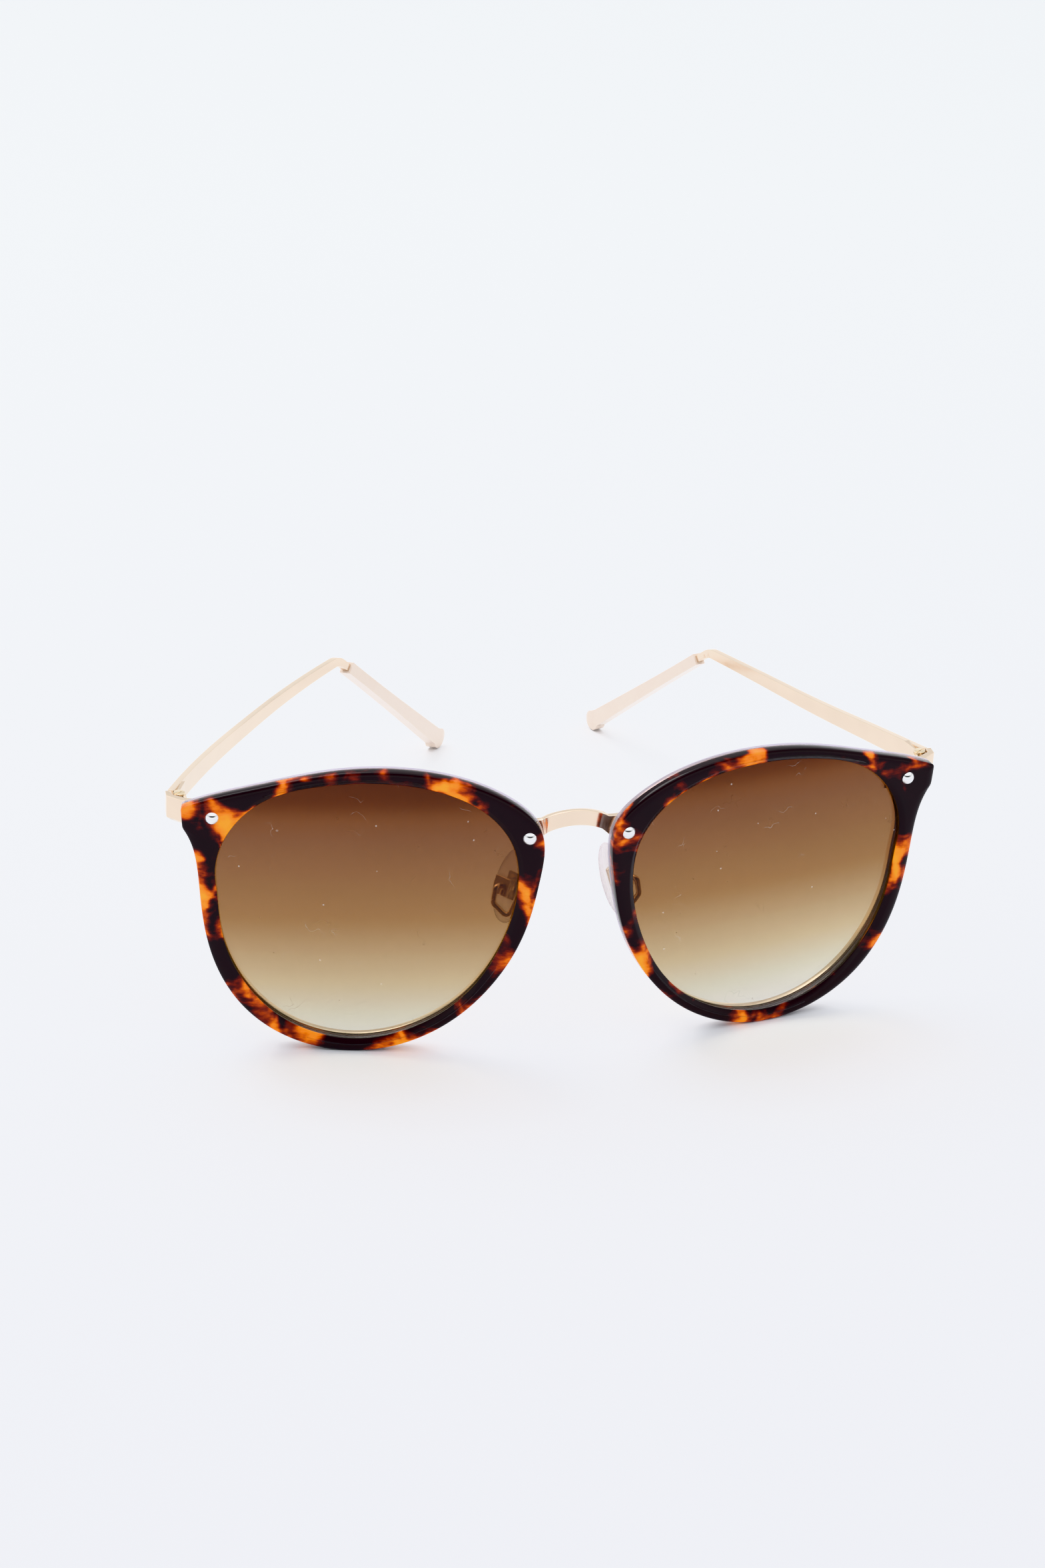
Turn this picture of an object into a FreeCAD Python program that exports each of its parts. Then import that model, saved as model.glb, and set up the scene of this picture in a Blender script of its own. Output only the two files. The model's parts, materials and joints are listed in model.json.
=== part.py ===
import FreeCAD
import Part
import math
import os

from FreeCAD import Placement, Rotation, Vector

# Cat eye sunglasses, in millimetres. The lenses face -Y, +X is to the right seen from the
# front, the temples run back along +Y and +Z is up.
# Each eye is a sandwich in one flat plane turned by the wrap angle: a front rim, a clear
# backing and a gold eyewire. Depth is counted from the front rim's face, backwards.

SIZES = [
    # name, value, what it is
    ("front_y", -69.98, "where the two rim planes meet the middle of the frame"),
    ("wrap_angle", 10.6, "turn of each rim plane about the vertical, degrees"),
    ("rim_inner_edge", 6.65, "from the middle of the frame to a rim's nasal edge, along the rim"),
    ("rim_width", 66.0, "nasal edge to the tip of the flare"),
    ("rim_height", 58.7, "bottom to top of the rim"),
    ("lip_depth", 0.8, "part of the front rim that laps over the lens"),
    ("rim_depth", 2.0, "thickness of the front rim"),
    ("rim_round", 0.6, "rounding of the front rim's outer edge"),
    ("bevel_across", 1.0, "bevel of the lip round the lens, across its front"),
    ("bevel_deep", 0.6, "bevel of the lip round the lens, down towards the lens"),
    ("backing_depth", 1.0, "thickness of the clear backing"),
    ("wire_depth", 1.2, "thickness of the eyewire"),
    ("wire_inset", 1.0, "how far the eyewire stays inside the rim's outline"),
    ("lens_lap", 0.8, "how far the lens reaches under the lip"),
    ("lens_play", 0.1, "gap round the lens in its rebate"),
    ("wire_lap", 0.35, "how far the eyewire's opening is wider than the lip's"),
    ("lens_thickness", 1.7, "lens thickness"),
    ("lens_curve", 400.0, "radius of the lens's front"),
    ("lens_front", 0.05, "depth of the middle of the lens"),
    ("rivet_shank", 0.65, "rivet shank radius"),
    ("rivet_head", 1.25, "rivet head radius"),
    ("rivet_dome", 0.75, "height of the rivet's domed head"),
    ("tab_depth", 1.1, "thickness of the metal tabs behind the eyewire"),
    ("nasal_rivet_across", 9.47, "nasal rivet from the middle, along the rim"),
    ("nasal_rivet_up", 46.1, "height of the nasal rivet"),
    ("outer_rivet_across", 67.15, "outer rivet from the middle, along the rim"),
    ("outer_rivet_up", 48.5, "height of the outer rivet"),
    ("bridge_front", 4.3, "the bridge's front face behind the middle of the frame"),
    ("bridge_top", 50.0, "height of the bridge's arched top"),
    ("bridge_height", 3.0, "height of the bridge band"),
    ("bridge_arch", 10.5, "radius of the bridge's top seen from the front"),
    ("bridge_tab_top", 1.7, "top of the bridge's tab above the nasal rivet's middle"),
    ("bridge_tab_low", 2.0, "underside of the bridge's tab below the nasal rivet's middle"),
    ("hinge_x", 70.9, "hinge axis from the middle"),
    ("hinge_back", 21.0, "hinge axis behind the middle of the frame"),
    ("hinge_up", 47.3, "middle height of the hinge"),
    ("knuckle_radius", 1.25, "hinge knuckle radius"),
    ("knuckle_height", 1.3, "height of each of the three knuckles"),
    ("knuckle_gap", 0.1, "gap between knuckles"),
    ("screw_radius", 0.55, "hinge screw shank radius"),
    ("screw_play", 0.05, "radial running clearance of the temple's knuckle"),
    ("screw_head", 1.05, "hinge screw head radius"),
    ("screw_head_height", 0.45, "hinge screw head height"),
    ("screw_slot_width", 0.28, "width of the hinge screw's slot"),
    ("screw_slot_turn", 35.0, "turn of the hinge screw's slot, degrees"),
    ("front_leaf_depth", 0.5, "thickness of the front leaf's plate"),
    ("rear_leaf_start", 1.5, "from the hinge axis to the rear leaf's plate"),
    ("rear_leaf_end", 6.5, "from the hinge axis to the far end of the rear leaf's plate"),
    ("rear_leaf_margin", 0.8, "rear leaf's plate above and below its knuckle"),
    ("end_wall", 1.1, "thickness of the end piece's side wall"),
    ("end_height", 5.2, "height of the end piece"),
    ("end_chamfer", 0.9, "bevel along the end piece's lower outer edge"),
    ("side_x", 73.4, "outer face of the end pieces and of the open temples"),
    ("temple_thickness", 1.2, "thickness of the temple bar"),
    ("temple_gap", 1.15, "from the hinge axis to the root of the temple bar"),
    ("temple_bow_left", 290.0, "radius of the left temple seen from above"),
    ("temple_bow_right", 900.0, "radius of the right temple seen from above"),
    ("temple_arm_left", 85.5, "hinge axis to the ear bend, left temple"),
    ("temple_arm_right", 78.5, "hinge axis to the ear bend, right temple"),
    ("temple_root_height", 4.3, "height of the temple bar at the hinge"),
    ("temple_bend_height", 2.0, "height of the temple bar at the ear bend"),
    ("temple_drop_left", 8.1, "how far the left ear bend lies below the hinge"),
    ("temple_drop_right", 10.6, "how far the right ear bend lies below the hinge"),
    ("temple_dip", 1.0, "how far the temple dips below a straight line to its ear bend"),
    ("temple_sweep", 400.0, "radius of the temple's slight dip, seen from the side"),
    ("bend_top", 7.0, "radius of the ear bend's top"),
    ("bend_under", 5.0, "radius of the ear bend's underside"),
    ("ear_length_left", 60.0, "length of the left ear piece along its slope"),
    ("ear_length_right", 56.0, "length of the right ear piece along its slope"),
    ("core_stop", 9.0, "from the end of the metal core to the ear piece's end"),
    ("tip_start", 5.0, "from the ear bend to the start of the plastic tip"),
    ("core_height", 1.1, "height of the temple's core inside its tip"),
    ("tip_thickness", 2.1, "thickness of the temple tip"),
    ("tip_neck", 2.4, "height of the temple tip near the bend"),
    ("tip_paddle", 3.5, "height of the temple tip's paddle"),
    ("fold_rest_right", 14.0, "right temple turned in from straight back, degrees"),
    ("fold_rest_left", 21.5, "left temple turned in from straight back, degrees"),
    ("pad_x", 9.7, "middle of a nose pad from the middle of the frame"),
    ("pad_back", 12.6, "middle of a nose pad behind the middle of the frame"),
    ("pad_up", 30.7, "height of the middle of a nose pad"),
    ("pad_length", 14.8, "length of a nose pad"),
    ("pad_width", 7.6, "width of a nose pad"),
    ("pad_thickness", 2.2, "thickness of a nose pad"),
    ("pad_splay", 38.0, "turn of a nose pad from straight back, degrees"),
    ("pad_lean", 20.0, "lean of a nose pad's top towards the nose, degrees"),
    ("pad_wire", 0.55, "radius of the pad arm's wire"),
    ("pad_box_size", 3.4, "height and width of the pad box"),
    ("pad_box_depth", 2.2, "depth of the pad box"),
    ("pad_box_wall", 0.5, "wall of the pad box"),
    ("pad_box_gap", 0.3, "gap between the pad and the pad box"),
    ("pad_pivot_back", 1.2, "pad screw's axis behind the pad's outer face"),
    ("pad_screw_radius", 0.4, "pad screw radius"),
    ("pad_screw_head", 0.4, "height of the pad screw's head"),
    ("pad_foot_across", 9.6, "foot of the pad arm from the middle, along the rim"),
    ("pad_foot_up", 34.5, "height of the pad arm's foot"),
    ("pad_arm_low", 26.6, "height of the pad arm's lowest turn"),
]

# Outlines of a rim and of its lens opening: shares of the rim's width from its nasal edge
# and of its height from its bottom.
RIM_OUTLINE = [
    (1.003, 0.857), (0.905, 0.897), (0.807, 0.927), (0.617, 0.981), (0.440, 1.000),
    (0.252, 0.976), (0.105, 0.910), (0.012, 0.810), (0.007, 0.644), (0.049, 0.429),
    (0.132, 0.249), (0.260, 0.100), (0.436, 0.010), (0.636, 0.017), (0.810, 0.131),
    (0.912, 0.322), (0.948, 0.530), (0.957, 0.640), (0.970, 0.718), (0.999, 0.787),
]
LENS_OPENING = [
    (0.906, 0.588), (0.876, 0.767), (0.778, 0.884), (0.631, 0.940), (0.469, 0.957),
    (0.300, 0.935), (0.169, 0.867), (0.084, 0.744), (0.069, 0.596), (0.109, 0.400),
    (0.215, 0.201), (0.354, 0.087), (0.531, 0.044), (0.707, 0.106), (0.832, 0.254),
    (0.891, 0.436),
]
EYE_CENTRE = (0.49, 0.50)

SIDES = {"left": -1, "right": 1}

doc = FreeCAD.newDocument("cat_eye_sunglasses")
sheet = doc.addObject("Spreadsheet::Sheet", "Sizes")
for row, (alias, value, note) in enumerate(SIZES, start=1):
    sheet.set("A%d" % row, alias)
    sheet.set("B%d" % row, str(value))
    sheet.set("C%d" % row, note)
    sheet.setAlias("B%d" % row, alias)
doc.recompute()

nodes = []


def size(name):
    return float(sheet.get(name))


def export_as(item, name):
    item.Label = name
    nodes.append(item)
    return item


# ---- general building functions

def body_at(name, placement):
    body = doc.addObject("PartDesign::Body", name)
    body.Placement = placement
    return body


def sketch_on(body, role, geometry, offset="0"):
    plane = [item for item in body.Origin.OriginFeatures if item.Role == role][0]
    sketch = body.newObject("Sketcher::SketchObject", body.Name + "_sketch")
    sketch.AttachmentSupport = [(plane, "")]
    sketch.MapMode = "FlatFace"
    sketch.setExpression(".AttachmentOffset.Base.z", offset)
    sketch.addGeometry(geometry, False)
    doc.recompute()
    return sketch


def pad_from(body, sketch, length, backwards=False, both_ways=False):
    feature = body.newObject("PartDesign::Pad", body.Name + "_pad")
    feature.Profile = sketch
    feature.Reversed = backwards
    feature.Midplane = both_ways
    feature.setExpression("Length", length)
    doc.recompute()
    return feature


def turned_from(body, sketch):
    feature = body.newObject("PartDesign::Revolution", body.Name + "_turned")
    feature.Profile = sketch
    feature.ReferenceAxis = (sketch, ["V_Axis"])
    feature.Angle = 360
    doc.recompute()
    return feature


def dress(body, kind, base, edges, amount):
    feature = body.newObject("PartDesign::" + kind, body.Name + "_" + kind.lower())
    feature.Base = (base, edges)
    feature.setExpression("Radius" if kind == "Fillet" else "Size", amount)
    doc.recompute()
    return feature


def edges_where(feature, test):
    return ["Edge%d" % (i + 1) for i, edge in enumerate(feature.Shape.Edges) if test(edge)]


def boolean(kind, name, base, tool):
    item = doc.addObject("Part::" + kind, name)
    item.Base = base
    item.Tool = tool
    doc.recompute()
    return item


def joined(name, pieces):
    item = doc.addObject("Part::MultiFuse", name)
    item.Shapes = pieces
    doc.recompute()
    return item


def cylinder(name, radius, height, placement):
    item = doc.addObject("Part::Cylinder", name)
    item.setExpression("Radius", radius)
    item.setExpression("Height", height)
    item.Placement = placement
    doc.recompute()
    return item


def block(name, low, high, placement=Placement()):
    item = doc.addObject("Part::Box", name)
    item.Length = high[0] - low[0]
    item.Width = high[1] - low[1]
    item.Height = high[2] - low[2]
    item.Placement = placement.multiply(Placement(Vector(*low), Rotation()))
    doc.recompute()
    return item


def closed_spline(points):
    curve = Part.BSplineCurve()
    curve.interpolate(Points=points, PeriodicFlag=True)
    return curve


def open_spline(points):
    curve = Part.BSplineCurve()
    curve.interpolate(Points=points)
    return curve


def rounded_path(points, radii):
    """Straight runs through the points, joined by tangent arcs of the given radii."""
    geometry = []
    start = points[0]
    for before, corner, after, radius in zip(points, points[1:], points[2:], radii):
        to_before = (before - corner).normalize()
        to_after = (after - corner).normalize()
        half_angle = to_before.getAngle(to_after) / 2
        run = radius / math.tan(half_angle)
        middle = (to_before + to_after).normalize()
        reach = radius / math.sin(half_angle) - radius
        first = corner + to_before * run
        last = corner + to_after * run
        geometry.append(Part.LineSegment(start, first))
        geometry.append(Part.Arc(first, corner + middle * reach, last))
        start = last
    geometry.append(Part.LineSegment(start, points[-1]))
    return geometry


def polygon(points):
    loop = list(points) + [points[0]]
    return [Part.LineSegment(a, b) for a, b in zip(loop, loop[1:])]


# ---- the eyes: rim, backing, eyewire and lens

def rim_plane(side):
    turn = Rotation(Vector(0, 0, side), size("wrap_angle"))
    return Placement(Vector(0, size("front_y"), 0), turn)


def outline_points(shares, side, grow):
    """Points of an outline in the rim's plane, moved outwards by grow millimetres."""
    def place(share):
        across = size("rim_inner_edge") + share[0] * size("rim_width")
        return Vector(across, share[1] * size("rim_height"), 0)
    centre = place(EYE_CENTRE)
    points = []
    for share in shares:
        away = place(share) - centre
        point = centre + away * ((away.Length + grow) / away.Length)
        points.append(Vector(side * point.x, point.y, 0))
    return points


def rim_outline(side, grow=0.0):
    points = outline_points(RIM_OUTLINE, side, grow)
    return [open_spline(points), Part.LineSegment(points[-1], points[0])]


def opening_outline(side, grow=0.0):
    return [closed_spline(outline_points(LENS_OPENING, side, grow))]


def rivet_places(side):
    return {
        "nasal": Vector(side * size("nasal_rivet_across"), size("nasal_rivet_up"), 0),
        "outer": Vector(side * size("outer_rivet_across"), size("outer_rivet_up"), 0),
    }


def rivet_holes(side):
    axis = Vector(0, 0, 1)
    places = rivet_places(side).values()
    return [Part.Circle(place, axis, size("rivet_shank")) for place in places]


def rim_body(name, side):
    body = body_at(name, rim_plane(side))
    body.setExpression(".Placement.Base.y", "Sizes.front_y")
    return body


def is_front_edge(edge):
    """An edge of the rim's front face that isn't a rivet hole's."""
    box = edge.BoundBox
    flat = abs(box.YMin) < 1e-4 and abs(box.YMax) < 1e-4
    return flat and edge.Length > 4 * math.pi * size("rivet_shank")


def make_front_rim(word, side):
    body = rim_body("front_rim_" + word, side)
    lip = rim_outline(side) + opening_outline(side) + rivet_holes(side)
    pad_from(body, sketch_on(body, "XZ_Plane", lip), "Sizes.lip_depth", backwards=True)
    rebate = size("lens_lap") + size("lens_play")
    back = rim_outline(side) + opening_outline(side, rebate) + rivet_holes(side)
    sketch = sketch_on(body, "XZ_Plane", back, "-Sizes.lip_depth")
    base = pad_from(body, sketch, "Sizes.rim_depth - Sizes.lip_depth", backwards=True)

    def is_outer(edge):
        return is_front_edge(edge) and not edge.isClosed()

    rounded = dress(body, "Fillet", base, edges_where(base, is_outer), "Sizes.rim_round")

    def is_opening(edge):
        inside_rounding = edge.BoundBox.ZMin > size("rim_round") * 3
        return is_front_edge(edge) and edge.isClosed() and inside_rounding

    bevel = dress(body, "Chamfer", rounded, edges_where(rounded, is_opening), "Sizes.bevel_across")
    bevel.ChamferType = "Two distances"
    bevel.setExpression("Size2", "Sizes.bevel_deep")
    export_as(body, "front_rim_" + word)


def make_backing(word, side):
    body = rim_body("rim_backing_" + word, side)
    rebate = size("lens_lap") + size("lens_play")
    ring = rim_outline(side) + opening_outline(side, rebate) + rivet_holes(side)
    sketch = sketch_on(body, "XZ_Plane", ring, "-Sizes.rim_depth")
    pad_from(body, sketch, "Sizes.backing_depth", backwards=True)
    export_as(body, "rim_backing_" + word)


def make_eyewire(word, side):
    body = rim_body("eyewire_" + word, side)
    ring = rim_outline(side, -size("wire_inset")) + opening_outline(side, size("wire_lap"))
    ring += rivet_holes(side)
    sketch = sketch_on(body, "XZ_Plane", ring, "-Sizes.rim_depth - Sizes.backing_depth")
    pad_from(body, sketch, "Sizes.wire_depth", backwards=True)
    export_as(body, "eyewire_" + word)


def make_lens(word, side):
    blank = rim_body("lens_blank_" + word, side)
    shape = opening_outline(side, size("lens_lap"))
    pad_from(blank, sketch_on(blank, "XZ_Plane", shape, "2"), "8", backwards=True)
    across = size("rim_inner_edge") + EYE_CENTRE[0] * size("rim_width")
    up = EYE_CENTRE[1] * size("rim_height")
    centre = Vector(side * across, size("lens_front") + size("lens_curve"), up)
    balls = []
    faces = {"front": "Sizes.lens_curve", "back": "Sizes.lens_curve - Sizes.lens_thickness"}
    for name, radius in faces.items():
        ball = doc.addObject("Part::Sphere", "lens_%s_%s" % (name, word))
        ball.setExpression("Radius", radius)
        ball.Placement = rim_plane(side).multiply(Placement(centre, Rotation()))
        balls.append(ball)
    doc.recompute()
    thick = boolean("Common", "lens_thick_" + word, blank, balls[0])
    export_as(boolean("Cut", "lens_" + word, thick, balls[1]), "lens_" + word)


# ---- rivets

def eye_depth():
    """Depth of the eye's three layers, where the metal tabs begin."""
    return size("rim_depth") + size("backing_depth") + size("wire_depth")


def sandwich_depth():
    return eye_depth() + size("tab_depth")


def domed_arc(radius, start, rise):
    """Half of a dome's outline: from its rim at (radius, start) to its top on the axis."""
    ball = (radius ** 2 + rise ** 2) / (2 * abs(rise))
    away = math.copysign(1, rise)
    centre = start + rise - away * ball
    half = math.asin(radius / ball) / 2
    middle = Vector(ball * math.sin(half), centre + away * ball * math.cos(half), 0)
    return Part.Arc(Vector(radius, start, 0), middle, Vector(0, start + rise, 0))


def make_rivet(word, side, where):
    place = rivet_places(side)[where]
    placement = rim_plane(side).multiply(Placement(Vector(place.x, 0, place.y), Rotation()))
    body = body_at("rivet_%s_%s" % (where, word), placement)
    head = size("rivet_head")
    shank = size("rivet_shank")
    dome = size("rivet_dome")
    deep = sandwich_depth()
    tail = head * 0.85
    profile = [
        domed_arc(head, 0, -dome),
        Part.LineSegment(Vector(head, 0, 0), Vector(shank, 0, 0)),
        Part.LineSegment(Vector(shank, 0, 0), Vector(shank, deep, 0)),
        Part.LineSegment(Vector(shank, deep, 0), Vector(tail, deep, 0)),
        domed_arc(tail, deep, dome * 0.6),
        Part.LineSegment(Vector(0, deep + dome * 0.6, 0), Vector(0, -dome, 0)),
    ]
    turned_from(body, sketch_on(body, "XY_Plane", profile))
    export_as(body, "rivet_%s_%s" % (where, word))


def rivet_drill(word, side, where):
    """A cylinder on a rivet's axis, through every layer."""
    place = rivet_places(side)[where]
    lay_down = Rotation(Vector(1, 0, 0), -90)
    local = Placement(Vector(place.x, -1, place.y), lay_down)
    name = "drill_%s_%s" % (where, word)
    return cylinder(name, "Sizes.rivet_shank", "12", rim_plane(side).multiply(local))


# ---- the bridge

def rim_point(across, depth):
    """A point of a rim's plane seen from above, in the frame's own x and y."""
    turn = math.radians(size("wrap_angle"))
    x = across * math.cos(turn) - depth * math.sin(turn)
    y = across * math.sin(turn) + depth * math.cos(turn)
    return Vector(x, y, 0)


def make_bridge():
    front = Placement(Vector(0, size("front_y"), 0), Rotation())
    thick = size("tab_depth")
    behind = eye_depth()
    start = size("bridge_front")
    foot = rim_point(size("rim_inner_edge") - 0.1, behind)
    foot_back = rim_point(size("rim_inner_edge") - 0.4, behind + thick)
    end = rim_point(size("nasal_rivet_across") + 2.3, behind)
    end_back = rim_point(size("nasal_rivet_across") + 2.3, behind + thick)

    def mirrored(point):
        return Vector(-point.x, point.y, 0)

    band = [
        Part.Arc(mirrored(foot), Vector(0, start, 0), foot),
        Part.LineSegment(foot, end),
        Part.LineSegment(end, end_back),
        Part.LineSegment(end_back, foot_back),
        Part.Arc(foot_back, Vector(0, start + thick, 0), mirrored(foot_back)),
        Part.LineSegment(mirrored(foot_back), mirrored(end_back)),
        Part.LineSegment(mirrored(end_back), mirrored(end)),
        Part.LineSegment(mirrored(end), mirrored(foot)),
    ]
    seen_from_above = body_at("bridge_band", front)
    pad_from(seen_from_above, sketch_on(seen_from_above, "XY_Plane", band, "30"), "40")

    arch = size("bridge_arch")
    top = size("bridge_top")
    low = top - size("bridge_height")
    spring_x = foot.x + 0.6
    spring_z = top - arch + math.sqrt(arch ** 2 - spring_x ** 2)
    tab_top = size("nasal_rivet_up") + size("bridge_tab_top")
    tab_low = size("nasal_rivet_up") - size("bridge_tab_low")
    tab_x = end.x + 1
    under_x = foot.x - 0.6
    under_z = low - arch + math.sqrt(arch ** 2 - under_x ** 2) - 0.2
    corner_x = foot.x + 0.8
    profile = [
        Part.Arc(Vector(-spring_x, spring_z, 0), Vector(0, top, 0), Vector(spring_x, spring_z, 0)),
        Part.LineSegment(Vector(spring_x, spring_z, 0), Vector(corner_x + 1, tab_top, 0)),
        Part.LineSegment(Vector(corner_x + 1, tab_top, 0), Vector(tab_x, tab_top, 0)),
        Part.LineSegment(Vector(tab_x, tab_top, 0), Vector(tab_x, tab_low, 0)),
        Part.LineSegment(Vector(tab_x, tab_low, 0), Vector(corner_x, tab_low, 0)),
        Part.LineSegment(Vector(corner_x, tab_low, 0), Vector(under_x, under_z, 0)),
        Part.Arc(Vector(under_x, under_z, 0), Vector(0, low, 0), Vector(-under_x, under_z, 0)),
        Part.LineSegment(Vector(-under_x, under_z, 0), Vector(-corner_x, tab_low, 0)),
        Part.LineSegment(Vector(-corner_x, tab_low, 0), Vector(-tab_x, tab_low, 0)),
        Part.LineSegment(Vector(-tab_x, tab_low, 0), Vector(-tab_x, tab_top, 0)),
        Part.LineSegment(Vector(-tab_x, tab_top, 0), Vector(-corner_x - 1, tab_top, 0)),
        Part.LineSegment(Vector(-corner_x - 1, tab_top, 0), Vector(-spring_x, spring_z, 0)),
    ]
    seen_from_front = body_at("bridge_arch", front)
    sketch = sketch_on(seen_from_front, "XZ_Plane", profile, "5")
    pad_from(seen_from_front, sketch, "30", backwards=True)
    strip = boolean("Common", "bridge_strip", seen_from_above, seen_from_front)
    drills = [rivet_drill("bridge_" + word, side, "nasal") for word, side in SIDES.items()]
    export_as(boolean("Cut", "bridge", strip, joined("bridge_drills", drills)), "bridge")


# ---- end pieces and hinges

def hinge_axis(side, height):
    return Vector(side * size("hinge_x"), size("front_y") + size("hinge_back"), height)


def knuckle_bottom(number):
    """Height of the bottom of knuckle 0, 1 or 2, counted from below."""
    pitch = size("knuckle_height") + size("knuckle_gap")
    return size("hinge_up") - size("knuckle_height") / 2 + (number - 1) * pitch


def make_end_piece(word, side):
    behind = eye_depth()
    thick = size("tab_depth")
    wall = size("end_wall")
    side_x = size("side_x")
    tab_front = rim_point(size("outer_rivet_across") - 2.6, behind)
    tab_back = rim_point(size("outer_rivet_across") - 2.6, behind + thick)
    corner = rim_point(size("rim_inner_edge") + size("rim_width") + 0.5, behind)
    shoulder_y = size("hinge_back") - 1.3
    end_y = size("hinge_back") + 0.8
    inner_corner = rim_point(size("hinge_x") + 1.2, behind + thick)
    outline = [
        tab_front,
        corner,
        Vector(side_x, shoulder_y, 0),
        Vector(side_x, end_y, 0),
        Vector(side_x - wall, end_y, 0),
        Vector(side_x - wall, shoulder_y + 0.5, 0),
        inner_corner,
        tab_back,
    ]
    points = [Vector(side * point.x, point.y, 0) for point in outline]
    body = body_at("end_blank_" + word, Placement(Vector(0, size("front_y"), 0), Rotation()))
    sketch = sketch_on(body, "XY_Plane", polygon(points), "Sizes.hinge_up - Sizes.end_height / 2")
    base = pad_from(body, sketch, "Sizes.end_height")
    low_z = size("hinge_up") - size("end_height") / 2

    def is_low_outer_edge(edge):
        box = edge.BoundBox
        outside = max(abs(box.XMin), abs(box.XMax)) > side_x - 0.01 and box.YLength > 1
        return abs(box.ZMin - low_z) < 1e-4 and abs(box.ZMax - low_z) < 1e-4 and outside

    dress(body, "Chamfer", base, edges_where(base, is_low_outer_edge), "Sizes.end_chamfer")
    end_piece = boolean("Cut", "end_piece_" + word, body, rivet_drill("end_" + word, side, "outer"))
    export_as(end_piece, "end_piece_" + word)
    return end_piece


def make_front_leaf(word, side, end_piece):
    """The two outer knuckles, their webs and the plate that joins them behind the end piece."""
    radius = size("knuckle_radius")
    x = size("hinge_x")
    y = size("hinge_back")
    front = Placement(Vector(0, size("front_y"), 0), Rotation())
    behind = sandwich_depth()
    web_x = sorted((side * (x - radius), side * (x + radius * 0.2)))
    pieces = []
    for number in (0, 2):
        low = knuckle_bottom(number)
        high = low + size("knuckle_height")
        name = "front_knuckle_%d_%s" % (number, word)
        at = Placement(hinge_axis(side, low), Rotation())
        pieces.append(cylinder(name, "Sizes.knuckle_radius", "Sizes.knuckle_height", at))
        name = "front_web_%d_%s" % (number, word)
        pieces.append(block(name, (web_x[0], y - 2 * radius, low), (web_x[1], y, high), front))
    turn = math.radians(size("wrap_angle"))
    across = x * math.cos(turn) + y * math.sin(turn)
    plate = sorted((side * (across - 2 * radius), side * (across + size("knuckle_gap"))))
    plate_low = (plate[0], behind, knuckle_bottom(0))
    plate_top = knuckle_bottom(2) + size("knuckle_height")
    plate_high = (plate[1], behind + size("front_leaf_depth"), plate_top)
    turned = rim_plane(side)
    pieces.append(block("front_plate_" + word, plate_low, plate_high, turned))
    solid = joined("front_leaf_solid_" + word, pieces)
    in_front = block("front_of_tab_" + word, (-200, -30, 0), (200, behind, 80), turned)
    trimmed = boolean("Cut", "front_leaf_trim_" + word, solid, in_front)
    clear = boolean("Cut", "front_leaf_clear_" + word, trimmed, end_piece)
    on_axis = Placement(hinge_axis(side, 0), Rotation())
    bore = cylinder("front_bore_" + word, "Sizes.screw_radius", "80", on_axis)
    export_as(boolean("Cut", "hinge_front_" + word, clear, bore), "hinge_front_" + word)


def make_hinge_screw(word, side):
    low = knuckle_bottom(0)
    high = knuckle_bottom(2) + size("knuckle_height")
    head_height = size("screw_head_height")
    foot = Placement(hinge_axis(side, low), Rotation())
    shank = cylinder("screw_shank_" + word, "Sizes.screw_radius", str(high - low), foot)
    seat = Placement(hinge_axis(side, high), Rotation())
    head = cylinder("screw_head_" + word, "Sizes.screw_head", "Sizes.screw_head_height", seat)
    slot_turn = Rotation(Vector(0, 0, 1), size("screw_slot_turn"))
    slot_at = Placement(hinge_axis(side, high + head_height / 2), slot_turn)
    half_slot = size("screw_slot_width") / 2
    slot = block("screw_slot_" + word, (-2, -half_slot, 0), (2, half_slot, 1), slot_at)
    whole = joined("screw_whole_" + word, [shank, head])
    export_as(boolean("Cut", "hinge_screw_" + word, whole, slot), "hinge_screw_" + word)


# ---- temples

def temple_placement(word, side):
    """The temple's own frame: origin on the hinge axis at z = 0, +Y along the temple."""
    turn = Rotation(Vector(0, 0, side), size("fold_rest_" + word))
    return Placement(hinge_axis(side, 0), turn)


def temple_plan(word, side, thickness, first):
    """A bowed band seen from above, thickness wide, from y = first to well past the end."""
    bow = size("temple_bow_" + word)
    arm = size("temple_arm_" + word)
    outer = size("side_x") - size("hinge_x")
    middle = outer - size("temple_thickness") / 2
    turn = math.asin(arm / bow)
    centre = Vector(middle - bow, 0, 0)

    def on_arc(angle, offset):
        point = centre + Vector(math.cos(angle), math.sin(angle), 0) * (bow + offset)
        return Vector(side * point.x, point.y, 0)

    half = thickness / 2
    begin = math.asin(first / bow)
    mid = (begin + turn) / 2
    ear_length = size("ear_length_" + word)
    beyond = Vector(-side * math.sin(turn), math.cos(turn), 0) * ear_length * 1.3
    outside = on_arc(turn, half)
    inside = on_arc(turn, -half)
    return [
        Part.Arc(on_arc(begin, half), on_arc(mid, half), outside),
        Part.LineSegment(outside, outside + beyond),
        Part.LineSegment(outside + beyond, inside + beyond),
        Part.LineSegment(inside + beyond, inside),
        Part.Arc(inside, on_arc(mid, -half), on_arc(begin, -half)),
        Part.LineSegment(on_arc(begin, -half), on_arc(begin, half)),
    ]


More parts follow.
